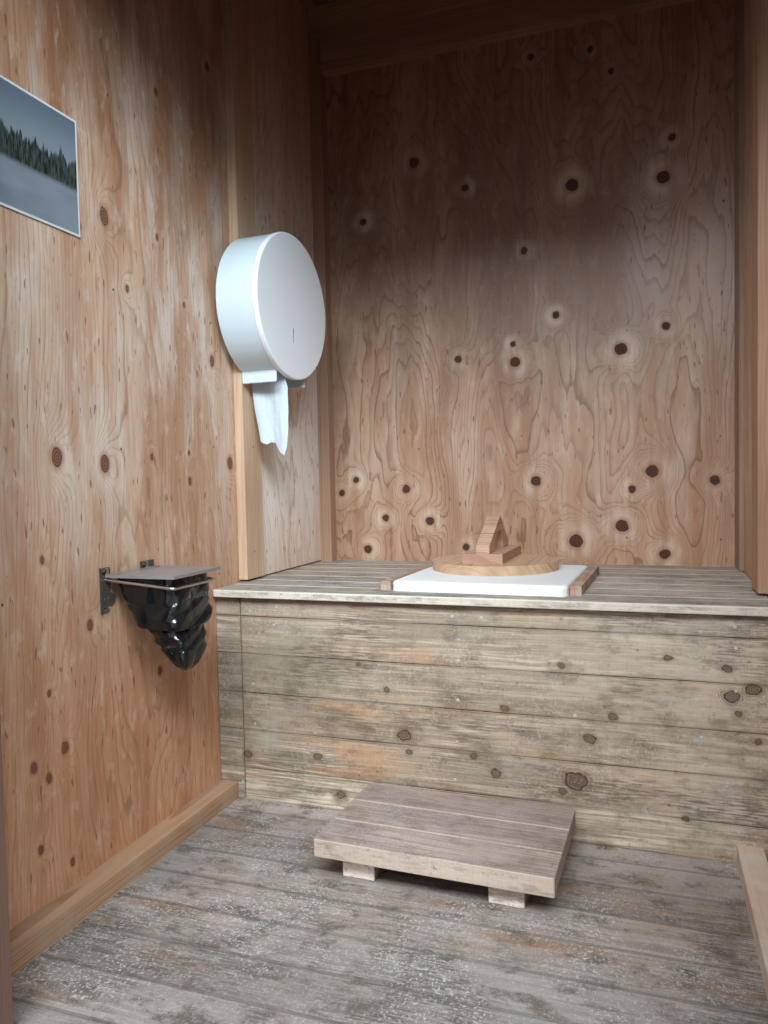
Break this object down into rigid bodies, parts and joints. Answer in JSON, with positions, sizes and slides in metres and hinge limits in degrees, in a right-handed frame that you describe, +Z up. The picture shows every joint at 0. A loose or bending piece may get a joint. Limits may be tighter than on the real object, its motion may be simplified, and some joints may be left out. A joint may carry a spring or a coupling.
{
  "type": "wooden outhouse",
  "caption": "Single-room wooden outhouse with plank bench, lift-off seat lid, foot step, paper dispenser and a waste-bag holder with hinged lid.",
  "frame": {"origin": "centre of the bounding box's footprint, at the underside of the ground timbers", "axes": "+Z up; -Y is the doorway side; +X to the right for someone looking in through the doorway"},
  "size_m": [1.424, 1.803, 2.7432],
  "materials": {
    "old_pine": "weathered pine boards, grey-green, unpainted",
    "floor_pine": "worn grey pine floor boards",
    "ply": "softwood plywood, warm tan with brown knots, satin",
    "framing": "planed pine battens, orange tan",
    "stained": "dull red-brown stained pine",
    "felt": "dark mineral roofing felt, matt",
    "lid_pine": "fresh sawn pine, matt",
    "white_seat": "white foam seat plate, soft satin",
    "white_shell": "white moulded housing, satin",
    "steel": "zinc plated steel",
    "bracket": "dark brown painted steel",
    "brown_board": "dark brown coated plate",
    "black_film": "black bag film, glossy",
    "tissue": "white tissue paper",
    "print": "printed card, satin"
  },
  "bodies": {
    "outhouse": {"skids": "old_pine", "floor_joists": "framing", "floor_rims": "framing", "floor_boards": "floor_pine", "front_skirt": "stained", "left_wall_sheet": "ply", "right_wall_sheet": "ply", "back_wall_sheet": "ply", "left_rear_lining": "ply", "left_joint_batten": "framing", "right_joint_batten": "framing", "left_corner_post": "framing", "right_corner_post": "framing", "rear_rail": "framing", "rear_top_plate": "framing", "left_sole_plate": "framing", "right_sole_plate": "framing", "left_door_post": "stained", "right_door_post": "stained", "door_header": "stained", "front_top_plate": "framing", "front_left_panel": "ply", "front_right_panel": "ply", "front_top_panel": "ply", "rafters": "framing", "roof_deck": "ply", "roof_felt": "felt", "roof_fascias": "stained", "outer_battens": "stained", "bench_front_boards": "old_pine", "bench_front_filler": "old_pine", "bench_top_boards": "old_pine", "bench_rails": "framing", "bench_cross_rails": "framing", "seat_plate": "white_seat", "seat_guides": "lid_pine", "step_planks": "old_pine", "step_feet": "old_pine", "dispenser_body": "white_shell", "dispenser_cover": "white_shell", "dispenser_cutters": "steel", "paper_tail": "tissue", "bag_bracket": "bracket", "bag_frame": "steel", "waste_bag": "black_film", "wall_print": "print"},
    "seat_lid": {"lid_disc": "lid_pine", "lid_block": "lid_pine", "lid_handle": "lid_pine"},
    "bag_lid": {"bag_lid_plate": "brown_board", "bag_hinge_leaves": "steel"}
  },
  "joints": [
    {"name": "seat_lid_lift", "type": "slide", "parent": "outhouse", "child": "seat_lid", "axis": [0, 0, 1], "range_m": [0, 0.3]},
    {"name": "bag_lid_hinge", "type": "hinge", "parent": "outhouse", "child": "bag_lid", "pos_m": [-0.602, -0.243, 0.803], "axis": [0, -1, 0], "range_deg": [0, 85]}
  ]
}
